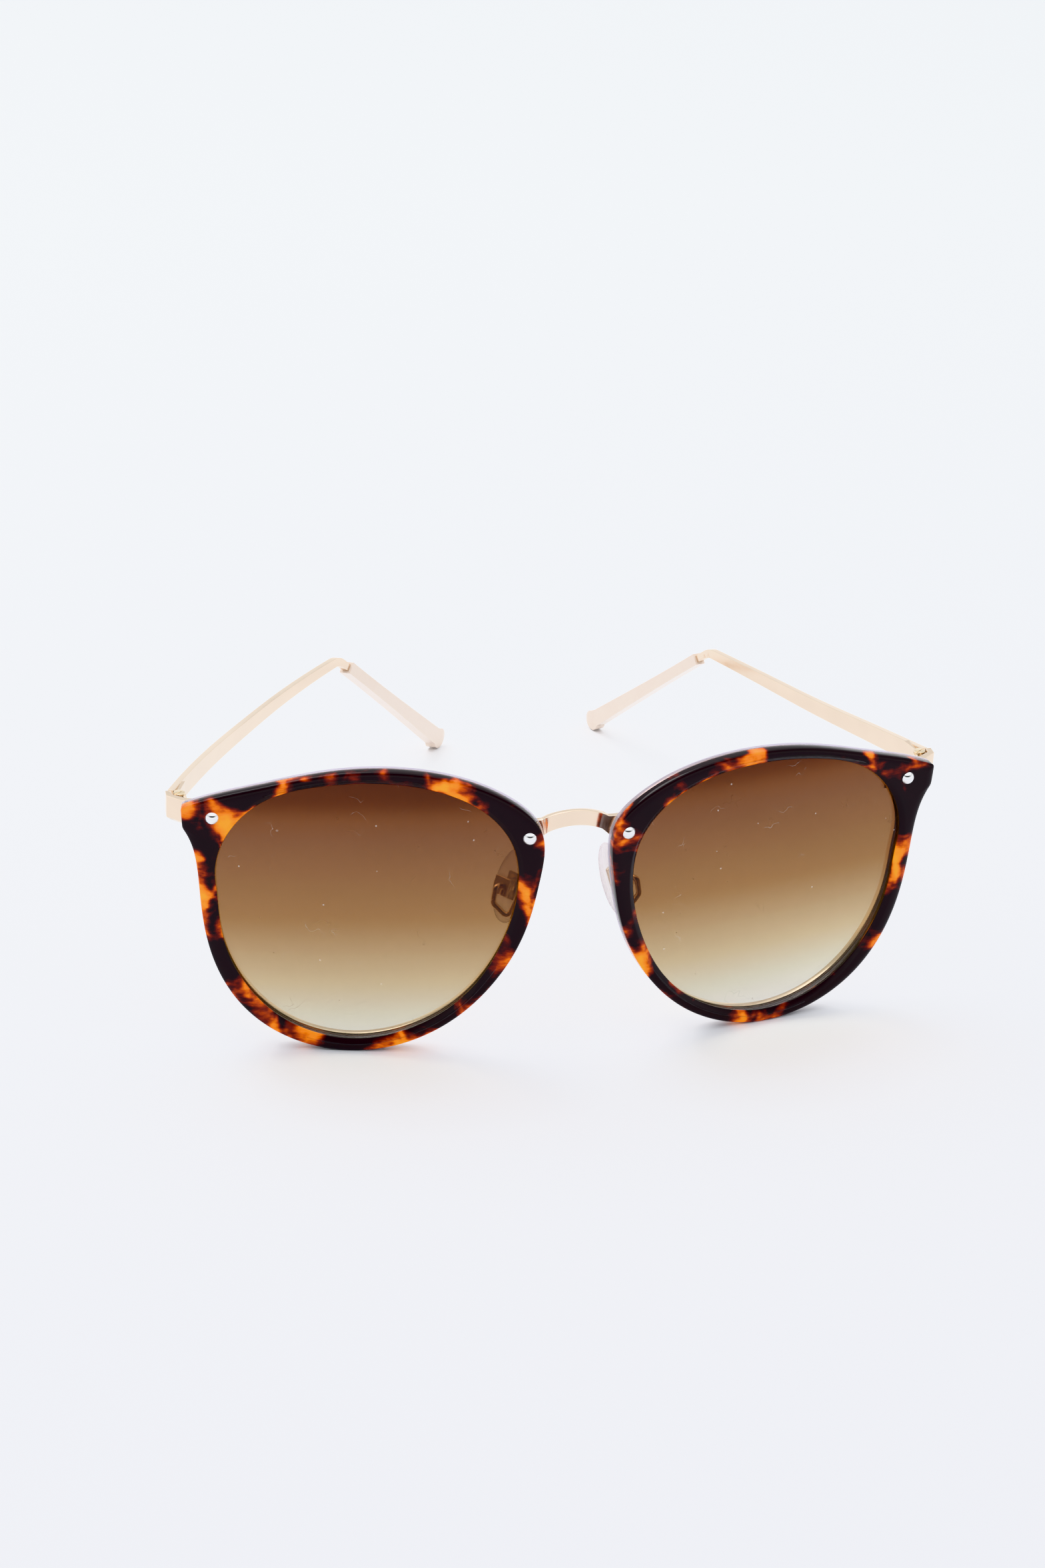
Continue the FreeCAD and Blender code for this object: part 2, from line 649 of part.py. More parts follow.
def temple_line(word):
    """The temple's middle line seen from the side: root, middle, ear bend and end."""
    arm = size("temple_arm_" + word)
    up = size("hinge_up")
    drop = size("temple_drop_" + word)
    bend = Vector(arm, up - drop, 0)
    middle = Vector(arm / 2, up - drop / 2 - size("temple_dip"), 0)
    low = size("tip_paddle") * 0.38
    fall = bend.y - low
    slope = math.sqrt(size("ear_length_" + word) ** 2 - fall ** 2)
    ahead = slope * math.cos(math.asin(arm / size("temple_bow_" + word)))
    return [Vector(size("temple_gap"), up, 0), middle, bend, bend + Vector(ahead, -fall, 0)]


def temple_body(name, word, side, role, geometry, start="0"):
    """A tall block of the temple's outline seen from above or from the side."""
    body = body_at(name + "_" + word, temple_placement(word, side))
    sketch = sketch_on(body, role, geometry, start)
    pad_from(body, sketch, "200", both_ways=True)
    return body


def make_temple(word, side):
    outline = temple_plan(word, side, size("temple_thickness"), size("temple_gap"))
    plan = temple_body("temple_plan", word, side, "XY_Plane", outline)
    root, middle, bend, end = temple_line(word)
    ear = (end - bend).normalize()
    normal = Vector(-ear.y, ear.x, 0)
    tall = Vector(0, size("temple_root_height") / 2, 0)
    low = Vector(0, size("temple_bend_height") / 2, 0)
    halfway = (tall + low) / 2
    core = normal * (size("core_height") / 2)
    core_end = end - ear * size("core_stop")
    sweep = size("temple_sweep")
    top = rounded_path(
        [root + tall, middle + halfway, bend + low, core_end + core], [sweep, size("bend_top")])
    under = rounded_path(
        [core_end - core, bend - low, middle - halfway, root - tall], [size("bend_under"), sweep])
    ends = [Part.LineSegment(core_end + core, core_end - core),
            Part.LineSegment(root - tall, root + tall)]
    blade = temple_body("temple_blade", word, side, "YZ_Plane", top + ends + under)
    return export_as(boolean("Common", "temple_" + word, plan, blade), "temple_" + word)


def make_tip(word, side, temple):
    """The plastic tip: a slim neck that swells into a round-ended paddle."""
    before_bend = size("temple_arm_" + word) - 3
    outline = temple_plan(word, side, size("tip_thickness"), before_bend)
    plan = temple_body("tip_plan", word, side, "XY_Plane", outline)
    root, middle, bend, end = temple_line(word)
    ear = (end - bend).normalize()
    normal = Vector(-ear.y, ear.x, 0)
    neck = normal * (size("tip_neck") / 2)
    wide = normal * (size("tip_paddle") / 2)
    start = bend + ear * size("tip_start")
    along = bend + ear * 19
    swell = end - ear * 16
    shoulder = end - ear * 3
    nose = end + ear * (size("tip_paddle") / 2 - 1.2)
    blade = temple_body("tip_blade", word, side, "YZ_Plane", [
        open_spline([start + neck, along + neck, swell + wide * 0.86, shoulder + wide]),
        Part.Arc(shoulder + wide, nose, shoulder - wide),
        open_spline([start - neck, along - neck, swell - wide * 0.86, shoulder - wide]),
        Part.LineSegment(start + neck, start - neck),
    ])
    solid = boolean("Common", "tip_solid_" + word, plan, blade)
    export_as(boolean("Cut", "temple_tip_" + word, solid, temple), "temple_tip_" + word)


def make_rear_leaf(word, side, temple):
    """The middle knuckle with its web and the plate on the temple's inner face."""
    at = temple_placement(word, side)
    low = knuckle_bottom(1)
    high = low + size("knuckle_height")
    inner = size("side_x") - size("hinge_x") - size("temple_thickness")
    foot = at.multiply(Placement(Vector(0, 0, low), Rotation()))
    knuckle = cylinder("rear_knuckle_" + word, "Sizes.knuckle_radius", "Sizes.knuckle_height", foot)
    web_x = sorted((side * 0.1, side * (inner - 0.1)))
    web = block("rear_web_" + word, (web_x[0], 0.3, low), (web_x[1], 2.2, high), at)
    plate_x = sorted((side * (inner - 0.7), side * (inner + 0.4)))
    margin = size("rear_leaf_margin")
    plate_low = (plate_x[0], size("rear_leaf_start"), low - margin)
    plate_high = (plate_x[1], size("rear_leaf_end"), high + margin)
    plate = block("rear_plate_" + word, plate_low, plate_high, at)
    solid = joined("rear_leaf_solid_" + word, [knuckle, web, plate])
    clear = boolean("Cut", "rear_leaf_clear_" + word, solid, temple)
    on_axis = Placement(hinge_axis(side, 0), Rotation())
    bore = cylinder("rear_bore_" + word, "Sizes.screw_radius + Sizes.screw_play", "80", on_axis)
    export_as(boolean("Cut", "hinge_rear_" + word, clear, bore), "hinge_rear_" + word)


# ---- nose pads

def pad_frame(side):
    """The pad's own frame: x along its width, y towards the nose, z along its length."""
    splay = math.radians(size("pad_splay"))
    lean = math.radians(size("pad_lean"))
    to_nose = Vector(-side * math.cos(splay), math.sin(splay), 0)
    length = Vector(0, 0, 1) * math.cos(lean) + to_nose * math.sin(lean)
    face = to_nose * math.cos(lean) - Vector(0, 0, 1) * math.sin(lean)
    width = face.cross(length)
    turn = Rotation(width, face, length, "ZXY")
    centre = Vector(side * size("pad_x"), size("front_y") + size("pad_back"), size("pad_up"))
    return Placement(centre, turn)


def make_nose_pad(word, side, stem):
    body = body_at("pad_blank_" + word, pad_frame(side))
    oval = Part.Ellipse(Vector(0, 0, 0), size("pad_length") / 2, size("pad_width") / 2)
    oval.rotate(Placement(Vector(0, 0, 0), Rotation(Vector(0, 0, 1), 90)))
    sketch = sketch_on(body, "XZ_Plane", [oval], "Sizes.pad_thickness / 2")
    base = pad_from(body, sketch, "Sizes.pad_thickness", backwards=True)
    edges = edges_where(base, lambda edge: edge.Length > size("pad_length"))
    dress(body, "Fillet", base, edges, "Sizes.pad_thickness * 0.43")
    export_as(boolean("Cut", "nose_pad_" + word, body, stem), "nose_pad_" + word)


def make_pad_stem(word, side):
    at = pad_frame(side)
    half = size("pad_thickness") / 2
    plate = block("stem_plate_" + word, (-1.3, -0.35, -2.6), (1.3, 0.25, 2.6), at)
    neck = block("stem_neck_" + word, (-0.6, -half - 1.75, -0.9), (0.6, 0, 0.9), at)
    whole = joined("stem_whole_" + word, [plate, neck])
    bore = pad_screw_shank("stem_bore_" + word, side, "Sizes.pad_screw_radius + Sizes.screw_play")
    stem = boolean("Cut", "pad_stem_" + word, whole, bore)
    export_as(stem, "pad_stem_" + word)
    return stem


def pad_pivot():
    """The pad screw's axis in the pad's frame, on the side away from the nose."""
    return Vector(0, -size("pad_thickness") / 2 - size("pad_pivot_back"), 0)


def pad_screw_shank(name, side, radius):
    lay_across = Rotation(Vector(0, 1, 0), 90)
    start = pad_pivot() + Vector(-size("pad_box_size") / 2, 0, 0)
    at = pad_frame(side).multiply(Placement(start, lay_across))
    return cylinder(name, radius, "Sizes.pad_box_size", at)


def make_pad_box(word, side):
    at = pad_frame(side)
    half = size("pad_box_size") / 2
    wall = size("pad_box_wall")
    mouth = -size("pad_thickness") / 2 - size("pad_box_gap")
    back = mouth - size("pad_box_depth")
    outer = block("box_outer_" + word, (-half, back, -half), (half, mouth, half), at)
    cavity_low = (-0.75, back + wall, -half + wall)
    cavity_high = (0.75, mouth + 1, half - wall)
    cavity = block("box_cavity_" + word, cavity_low, cavity_high, at)
    hollow = boolean("Cut", "box_hollow_" + word, outer, cavity)
    bore = pad_screw_shank("box_bore_" + word, side, "Sizes.pad_screw_radius")
    export_as(boolean("Cut", "pad_box_" + word, hollow, bore), "pad_box_" + word)


def make_pad_screw(word, side):
    shank = pad_screw_shank("pad_shank_" + word, side, "Sizes.pad_screw_radius")
    head_height = size("pad_screw_head")
    start = pad_pivot() + Vector(-size("pad_box_size") / 2 - head_height, 0, 0)
    at = pad_frame(side).multiply(Placement(start, Rotation(Vector(0, 1, 0), 90)))
    head = cylinder("pad_head_" + word, "Sizes.pad_screw_radius * 2", "Sizes.pad_screw_head", at)
    export_as(joined("pad_screw_" + word, [shank, head]), "pad_screw_" + word)


def make_pad_arm(word, side):
    foot = rim_point(size("pad_foot_across"), eye_depth())
    back = -size("pad_thickness") / 2 - size("pad_box_gap") - size("pad_box_depth")
    box_back = pad_frame(side).multVec(Vector(0, back, 0))
    outwards = (pad_frame(side).multVec(Vector(0, back - 1, 0)) - box_back).normalize()
    start = Vector(side * foot.x, size("front_y") + foot.y, size("pad_foot_up"))
    backwards = rim_plane(side).Rotation.multVec(Vector(0, 1, 0))
    near = start + backwards * 2.0
    down = Vector(near.x + side * 3.0, near.y - 0.2, size("pad_arm_low"))
    turn = box_back + outwards * 2.2 + Vector(0, 0, -3.6)
    level = box_back + outwards * 1.5
    points = [start, near, down, turn, level, box_back]
    path = [piece.toShape() for piece in rounded_path(points, [1.2, 0.9, 0.9, 0.8])]
    wire = Part.Wire(Part.__sortEdges__(path))
    tangent = (near - start).normalize()
    ring = Part.Wire([Part.Circle(start, tangent, size("pad_wire")).toShape()])
    solid = wire.makePipeShell([ring], True, True)
    arm = doc.addObject("Part::Feature", "pad_arm_" + word)
    arm.Shape = solid
    doc.recompute()
    export_as(arm, "pad_arm_" + word)


def build():
    make_bridge()
    for word, side in SIDES.items():
        make_front_rim(word, side)
        make_backing(word, side)
        make_eyewire(word, side)
        make_lens(word, side)
        make_rivet(word, side, "nasal")
        make_rivet(word, side, "outer")
        end_piece = make_end_piece(word, side)
        make_front_leaf(word, side, end_piece)
        make_hinge_screw(word, side)
        temple = make_temple(word, side)
        make_tip(word, side, temple)
        make_rear_leaf(word, side, temple)
        stem = make_pad_stem(word, side)
        make_nose_pad(word, side, stem)
        make_pad_box(word, side)
        make_pad_screw(word, side)
        make_pad_arm(word, side)


def check_and_write():
    for item in doc.Objects:
        bad = [state for state in item.State if state in ("Invalid", "Error")]
        if bad:
            raise RuntimeError("%s failed: %s" % (item.Label, bad))
    os.makedirs("parts", exist_ok=True)
    for item in nodes:
        shape = item.Shape
        if shape.isNull() or not shape.isValid() or shape.Volume <= 0:
            raise RuntimeError("%s has no valid solid" % item.Label)
        shape.exportStep("parts/%s.step" % item.Label)
        print("%-22s %d solid(s) %9.2f mm3" % (item.Label, len(shape.Solids), shape.Volume))


build()
doc.recompute()
check_and_write()
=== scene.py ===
import json
import math

import bmesh
import bpy
import numpy as np
from mathutils import Matrix, Vector


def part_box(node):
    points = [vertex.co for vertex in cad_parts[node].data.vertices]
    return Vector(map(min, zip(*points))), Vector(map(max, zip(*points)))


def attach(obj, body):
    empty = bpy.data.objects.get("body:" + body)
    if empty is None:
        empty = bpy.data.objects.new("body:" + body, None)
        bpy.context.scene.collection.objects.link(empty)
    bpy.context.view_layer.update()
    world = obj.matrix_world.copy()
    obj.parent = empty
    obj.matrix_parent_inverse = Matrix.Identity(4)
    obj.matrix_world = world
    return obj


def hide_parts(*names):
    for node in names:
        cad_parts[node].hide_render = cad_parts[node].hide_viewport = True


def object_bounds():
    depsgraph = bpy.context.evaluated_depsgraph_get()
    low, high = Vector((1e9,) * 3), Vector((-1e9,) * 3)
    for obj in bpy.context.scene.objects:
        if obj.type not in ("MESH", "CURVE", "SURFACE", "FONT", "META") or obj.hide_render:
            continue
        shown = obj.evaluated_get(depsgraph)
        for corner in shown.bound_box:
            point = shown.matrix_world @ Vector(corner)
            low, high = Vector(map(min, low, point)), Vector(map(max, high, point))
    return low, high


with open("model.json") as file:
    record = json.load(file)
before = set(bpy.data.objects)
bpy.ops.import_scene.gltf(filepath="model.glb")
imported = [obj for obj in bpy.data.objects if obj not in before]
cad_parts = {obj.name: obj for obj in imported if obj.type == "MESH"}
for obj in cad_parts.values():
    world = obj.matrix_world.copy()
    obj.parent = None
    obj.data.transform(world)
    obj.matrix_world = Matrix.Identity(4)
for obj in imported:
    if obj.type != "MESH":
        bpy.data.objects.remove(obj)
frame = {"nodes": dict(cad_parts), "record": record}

# Cat eye sunglasses: tortoiseshell rims in front of a clear layer and a gold eyewire,
# gradient lenses, gold bridge, end pieces and bowed temples, and clear nose pads.
# Everything is in metres in the CAD model's own frame.

MM = 0.001
UP = Vector((0, 0, 1))
SIDES = {"left": -1, "right": 1}

cad_low, cad_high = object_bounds()
nodes = frame["nodes"]

# How finely the smooth pieces are divided.
RING_POINTS = 720
LENS_RINGS = 24
PAD_POINTS = 64
PAD_RINGS = 14

# The rims' edges, across the rim and from its front backwards.
LIP_DEPTH = 0.8 * MM
FRONT_ACROSS = 1.7 * MM
FRONT_DEEP = 0.6 * MM
BEVEL_ACROSS = 1.0 * MM
BEVEL_DEEP = 0.6 * MM
BEVEL_SOFT = 0.12 * MM
BACK_ROUND = 0.15 * MM
CORNER_SOFTENING = 0.35 * MM
LAYER_GAP = 0.015 * MM

# The lenses and the soft nose pads.
LENS_CURVE = 400 * MM
LENS_PLAY = 0.1 * MM
PAD_FIT = 0.995
PAD_FULLNESS = 0.75

# The metal pieces' fine rounded edges.
SMALL_EDGE = 0.10 * MM
SHARP_FROM = math.radians(35)
FLAT_FACE_WEIGHT = 90

# How far apart points of the CAD meshes may lie and still count as one point or one level.
SAME_POINT = 0.001 * MM
SAME_LEVEL = 0.01 * MM

# Materials.
NOISE_LOW = 0.3
NOISE_HIGH = 0.7
# Strength of the tortoiseshell's painted glow: it gives out its own colour as light, standing in for
# light shining through the amber.
PAINTED_GLOW = 0.22
BLOTCH_SCALE = 125
STREAK_SCALE = (420, 420, 950)
HAIRLINE_SCALE = (900, 60, 900)
DUST_SCALE = 240
HAIR_WIDTH = 0.003
HAIR_STRENGTH = 0.16

# The floor's colours, with painted shade near the camera and painted light further back, and the tent's
# greys from straight below to straight above.
FLOOR_SIZE = 8
FLOOR_NEAR_SHADED = (0.80, 0.80, 0.84)
FLOOR_FAR_LIT = (0.93, 0.95, 0.97)
TENT_GREYS = [(0.0, 0.95), (0.12, 1.0), (0.35, 0.60), (0.55, 0.70), (0.8, 1.15), (1.0, 1.15)]
TENT_TINT = (0.97, 0.985, 1.0)

# The dark opening in the tent: its direction, its shape, where it fades and how bright it gets.
OPENING_MIDDLE = (-0.15, -0.85, 0.52)
OPENING_STRETCH = (0.40, 0.55, 1.9)
OPENING_START = 0.20
OPENING_END = 0.50
OPENING_BRIGHTNESS = 0.14
TENT_BRIGHTNESS = 1.48

# The one lamp.
LAMP_PLACE = (-0.3, 0.35, 0.9)
LAMP_WIDTH = 0.7
LAMP_POWER = 4

# The camera.
VIEW_AZIMUTH = math.radians(-13.24)
VIEW_ELEVATION = math.radians(26.96)
VIEW_ROLL = math.radians(2.82)
VIEW_DISTANCE = 613.81 * MM
AIM_RIGHT = 9.94 * MM
AIM_DOWN = 23.12 * MM
AIM_HEIGHT = 31.2 * MM
AIM_AHEAD_OF_BRIDGE = 3.2 * MM
FOCAL_LENGTH = 76.53
CLIP_START = 10 * MM


# ---- materials

class Tree:
    """A node tree with short ways to add and link nodes."""

    def __init__(self, tree, coordinates):
        self.tree = tree
        self.place = self.add("ShaderNodeTexCoord").outputs[coordinates]

    def add(self, kind, **settings):
        node = self.tree.nodes.new(kind)
        for name, value in settings.items():
            setattr(node, name, value)
        return node

    def link(self, source, target):
        self.tree.links.new(source, target)

    def height(self):
        """The Z of the coordinates."""
        parts = self.add("ShaderNodeSeparateXYZ")
        self.link(self.place, parts.inputs["Vector"])
        return parts.outputs["Z"]

    def noise(self, scale, detail=2.0, roughness=0.5, place=None, distortion=0.0):
        node = self.add("ShaderNodeTexNoise")
        node.inputs["Scale"].default_value = scale
        node.inputs["Detail"].default_value = detail
        node.inputs["Roughness"].default_value = roughness
        node.inputs["Distortion"].default_value = distortion
        self.link(place or self.place, node.inputs["Vector"])
        return node

    def ramp(self, factor, stops):
        node = self.add("ShaderNodeValToRGB")
        while len(node.color_ramp.elements) < len(stops):
            node.color_ramp.elements.new(0.5)
        for element, (position, colour) in zip(node.color_ramp.elements, stops):
            element.position = position
            element.color = (*colour, 1)
        self.link(factor, node.inputs["Fac"])
        return node.outputs["Color"]

    def to_range(self, value, low, high, new_low, new_high, interpolation="LINEAR"):
        node = self.add("ShaderNodeMapRange", interpolation_type=interpolation)
        node.inputs["From Min"].default_value = low
        node.inputs["From Max"].default_value = high
        node.inputs["To Min"].default_value = new_low
        node.inputs["To Max"].default_value = new_high
        self.link(value, node.inputs["Value"])
        return node.outputs["Result"]

    def drift(self, noise, new_low, new_high, high=NOISE_HIGH):
        """A value that drifts between two others as the noise does."""
        return self.to_range(noise.outputs["Fac"], NOISE_LOW, high, new_low, new_high)

    def vector(self, operation, source, other=(0, 0, 0), output="Vector"):
        """A step of vector arithmetic on a linked vector and a fixed one."""
        node = self.add("ShaderNodeVectorMath", operation=operation)
        node.inputs[1].default_value = other
        self.link(source, node.inputs[0])
        return node.outputs[output]

    def total(self, first, second, operation="ADD"):
        node = self.add("ShaderNodeMath", operation=operation)
        self.link(first, node.inputs[0])
        self.link(second, node.inputs[1])
        return node.outputs["Value"]


class Shader(Tree):
    """A material's node tree, with the object's own coordinates."""

    def __init__(self, name):
        self.material = bpy.data.materials.new(name)
        self.material.use_nodes = True
        super().__init__(self.material.node_tree, "Object")
        self.surface = self.tree.nodes["Principled BSDF"]
        self.output = self.tree.nodes["Material Output"]

    def set(self, **values):
        for name, value in values.items():
            self.surface.inputs[name.replace("_", " ")].default_value = value

    def drive(self, source, name):
        """Link a value or colour to a socket of the surface."""
        self.link(source, self.surface.inputs[name])

    def scaled(self, scale):
        node = self.add("ShaderNodeMapping")
        node.inputs["Scale"].default_value = scale
        self.link(self.place, node.inputs["Vector"])
        return node.outputs["Vector"]

    def warped(self, scale, amount):
        """The object's own coordinates, pushed about by soft noise."""
        wobble = self.noise(scale)
        shift = self.add("ShaderNodeVectorMath", operation="MULTIPLY_ADD")
        shift.inputs[1].default_value = (amount, amount, amount)
        self.link(wobble.outputs["Color"], shift.inputs[0])
        self.link(self.place, shift.inputs[2])
        return shift.outputs["Vector"]

    def facing(self, centre, edge, power):
        """A value that goes from centre, seen straight on, to edge, seen at a glancing angle."""
        glancing = self.add("ShaderNodeLayerWeight")
        steep = self.add("ShaderNodeMath", operation="POWER")
        steep.inputs[1].default_value = power
        self.link(glancing.outputs["Facing"], steep.inputs[0])
        return self.to_range(steep.outputs["Value"], 0, 1, centre, edge)

    def blend(self, factor, first, second):
        node = self.add("ShaderNodeMixShader")
        self.link(factor, node.inputs[0])
        self.link(first, node.inputs[1])
        self.link(second, node.inputs[2])
        return node.outputs["Shader"]

    def bump(self, height, strength, distance):
        node = self.add("ShaderNodeBump")
        node.inputs["Strength"].default_value = strength
        node.inputs["Distance"].default_value = distance
        self.link(height, node.inputs["Height"])
        self.drive(node.outputs["Normal"], "Normal")


def tortoiseshell(low, high):
    """Deep red-brown plastic with near-black blotches and streaky amber windows, glowing with a painted
    light of its own colour.
    """
    shader = Shader("tortoiseshell")
    blotches = shader.noise(BLOTCH_SCALE, 2.5, 0.45, shader.warped(140, 4 * MM), 0.5)
    darker_above = shader.to_range(shader.height(), low + 0.6 * (high - low), high, 0.0, 0.03)
    streaks = shader.noise(1.0, 3.0, 0.55, shader.scaled(STREAK_SCALE))
    lighter = shader.total(blotches.outputs["Fac"], shader.drift(streaks, -0.025, 0.025))
    colour = shader.ramp(shader.total(lighter, darker_above, "SUBTRACT"), [
        (0.000, (0.004, 0.0010, 0.0022)),
        (0.480, (0.008, 0.0015, 0.0030)),
        (0.508, (0.045, 0.0035, 0.0035)),
        (0.535, (0.140, 0.0100, 0.0030)),
        (0.565, (0.400, 0.0480, 0.0010)),
        (0.605, (0.780, 0.1900, 0.0010)),
        (0.670, (0.880, 0.3200, 0.0020)),
        (1.000, (0.950, 0.4200, 0.0150)),
    ])
    shader.drive(colour, "Base Color")
    # Painted glow: the pattern's colour is given out as light, so the amber windows shine as if lit
    # from behind.
    shader.drive(colour, "Emission Color")
    shader.drive(shader.drift(shader.noise(900), 0.04, 0.09), "Roughness")
    shader.set(IOR=1.49, Specular_IOR_Level=0.32, Emission_Strength=PAINTED_GLOW)
    shader.bump(shader.noise(300, 1.0).outputs["Fac"], 0.06, 0.2 * MM)
    return shader.material


def clear_plastic(name, tint, body_colour, centre, edge, roughness):
    """See-through plastic that turns cloudier where it is seen at a glancing angle."""
    shader = Shader(name)
    haze = shader.noise(260)
    darker = tuple(channel * 0.95 for channel in body_colour)
    colours = shader.ramp(haze.outputs["Fac"], [(NOISE_LOW, darker), (NOISE_HIGH, body_colour)])
    shader.drive(colours, "Base Color")
    shader.drive(shader.drift(haze, roughness, roughness * 1.6), "Roughness")
    shader.set(IOR=1.45)
    clear = shader.add("ShaderNodeBsdfTransparent")
    clear.inputs["Color"].default_value = (*tint, 1)
    cloudiness = shader.facing(centre, edge, 1.5)
    mixed = shader.blend(cloudiness, clear.outputs["BSDF"], shader.surface.outputs["BSDF"])
    shader.link(mixed, shader.output.inputs["Surface"])
    return shader.material


def plated_metal(name, colour, roughness):
    """Polished plating with a faint cloudiness and hairline scratches."""
    shader = Shader(name)
    cloud = shader.noise(140)
    darker = tuple(channel * 0.93 for channel in colour)
    shader.drive(shader.ramp(cloud.outputs["Fac"], [(0.35, darker), (0.65, colour)]), "Base Color")
    hairlines = shader.noise(1.0, 3.0, 0.6, shader.scaled(HAIRLINE_SCALE))
    shader.drive(shader.drift(hairlines, roughness * 0.75, roughness * 1.5, 0.75), "Roughness")
    shader.bump(hairlines.outputs["Fac"], 0.04, 0.05 * MM)
    shader.set(Metallic=1.0)
    return shader.material


def dust_specks(shader):
    """How much of the surface fine round specks cover."""
    specks = shader.add("ShaderNodeTexVoronoi", feature="F1")
    specks.inputs["Scale"].default_value = DUST_SCALE
    shader.link(shader.place, specks.inputs["Vector"])
    return shader.to_range(specks.outputs["Distance"], 0.02, 0.05, 0.45, 0.0)


def dust_hairs(shader):
    """How much of the surface short curled hairs cover: a noise's contour line, in a few patches."""
    lines = shader.noise(150, 2.0, 0.5, shader.warped(500, 1.5 * MM))
    on_line = shader.add("ShaderNodeMath", operation="COMPARE")
    on_line.inputs[1].default_value = 0.5
    on_line.inputs[2].default_value = HAIR_WIDTH
    shader.link(lines.outputs["Fac"], on_line.inputs[0])
    patches = shader.noise(170, 1.0)
    where = shader.to_range(patches.outputs["Fac"], 0.60, 0.68, 0.0, HAIR_STRENGTH)
    return shader.total(on_line.outputs["Value"], where, "MULTIPLY")


def tinted_lens(low, high):
    """A brown gradient tint, dark at the top and nearly clear at the bottom, with a painted dark band
    of shade at the very top, and dust.
    """
    shader = Shader("tinted_lens")
    level = shader.vector("DOT_PRODUCT", shader.place, (-0.035, 0, 1), "Value")
    tint = shader.ramp(shader.to_range(level, low, high, 0, 1), [
        (0.00, (0.850, 0.840, 0.810)),
        (0.10, (0.800, 0.785, 0.710)),
        (0.26, (0.710, 0.630, 0.490)),
        (0.50, (0.530, 0.390, 0.250)),
        (0.80, (0.425, 0.280, 0.190)),
        # From here up the tint darkens into a painted dark band of shade under the rim, beyond the
        # lens's own gradient.
        (0.87, (0.400, 0.245, 0.150)),
        (0.93, (0.300, 0.150, 0.070)),
        (1.00, (0.270, 0.125, 0.055)),
    ])
    clear = shader.add("ShaderNodeBsdfTransparent")
    shader.link(tint, clear.inputs["Color"])
    gloss = shader.add("ShaderNodeBsdfGlossy")
    shader.link(shader.drift(shader.noise(120), 0.01, 0.04), gloss.inputs["Roughness"])
    coated = shader.blend(shader.facing(0.035, 0.9, 5), clear.outputs["BSDF"], gloss.outputs["BSDF"])
    dust = shader.add("ShaderNodeBsdfDiffuse")
    dust.inputs["Color"].default_value = (0.9, 0.85, 0.80, 1)
    specks_and_hairs = shader.total(dust_specks(shader), dust_hairs(shader))
    dusty = shader.blend(specks_and_hairs, coated, dust.outputs["BSDF"])
    shader.link(dusty, shader.output.inputs["Surface"])
    shader.tree.nodes.remove(shader.surface)
    return shader.material


def tip_plastic():
    """Pale pearly plastic over the temple's end."""
    shader = Shader("tip_plastic")
    pearl = shader.noise(160, 3.0, 0.6, shader.warped(90, 10 * MM))
    colours = [(NOISE_LOW, (0.80, 0.66, 0.56)), (NOISE_HIGH, (0.83, 0.70, 0.60))]
    shader.drive(shader.ramp(pearl.outputs["Fac"], colours), "Base Color")
    shader.drive(shader.drift(pearl, 0.16, 0.24), "Roughness")
    shader.set(IOR=1.49, Coat_Weight=0.5, Coat_Roughness=0.08)
    return shader.material


# ---- reading shapes from the CAD model

class Eye:
    """The flat plane that one eye's layers lie in, with its middle in the lens."""

    def __init__(self, word, side):
        self.word = word
        self.side = side
        layer = nodes["rim_backing_" + word].data
        normal = max(layer.polygons, key=lambda face: face.area).normal.copy()
        self.back = normal if normal.y > 0 else -normal
        self.across = self.back.cross(UP) * side
        low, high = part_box("lens_" + word)
        middle = (low + high) / 2
        front = min(vertex.co.dot(self.back) for vertex in nodes["front_rim_" + word].data.vertices)
        self.origin = middle + self.back * (front - middle.dot(self.back))

    def flat(self, point):
        """A point's place in the plane, across towards the ear and up."""
        away = point - self.origin
        return away.dot(self.across), away.dot(UP)

    def depth(self, point):
        return (point - self.origin).dot(self.back)

    def place(self, flat, depth):
        """The point at a place in the plane and a depth behind it."""
        return self.origin + self.across * flat[0] + UP * flat[1] + self.back * depth


def perimeter(loop):
    return np.linalg.norm(np.roll(loop, -1, axis=0) - loop, axis=1).sum()


def outlines(name, eye, depth):
    """The closed loops at a depth where a flat face meets a wall, longest first."""
    mesh = bmesh.new()
    mesh.from_mesh(nodes[name].data)
    bmesh.ops.remove_doubles(mesh, verts=mesh.verts, dist=SAME_POINT)

    def is_outline(edge):
        level = all(abs(eye.depth(vertex.co) - depth) < SAME_LEVEL for vertex in edge.verts)
        flat = [abs(face.normal.dot(eye.back)) > 0.999 for face in edge.link_faces]
        return level and len(flat) == 2 and flat[0] != flat[1]

    edges = [edge for edge in mesh.edges if is_outline(edge)]
    loops = []
    while edges:
        start, vertex = edges.pop(0).verts
        loop = [eye.flat(start.co)]
        while vertex is not start:
            loop.append(eye.flat(vertex.co))
            edge = next(edge for edge in vertex.link_edges if edge in edges)
            edges.remove(edge)
            vertex = edge.other_vert(vertex)
        loops.append(np.array(loop))
    mesh.free()
    return sorted(loops, key=perimeter, reverse=True)


def evenly(loop, count):
    """A closed loop as count points, evenly spaced, counter-clockwise from straight left."""
    turn = np.arctan2(loop[:, 1], loop[:, 0])
    if np.sum(np.sin(np.roll(turn, -1) - turn)) < 0:
        loop = loop[::-1]
        turn = turn[::-1]
    loop = np.roll(loop, -int(np.argmin(turn)), axis=0)
    closed = np.vstack([loop, loop[:1]])
    length = np.concatenate([[0], np.cumsum(np.linalg.norm(np.diff(closed, axis=0), axis=1))])
    wanted = np.linspace(0, length[-1], count, endpoint=False)
    return np.stack([np.interp(wanted, length, closed[:, axis]) for axis in (0, 1)], axis=1)


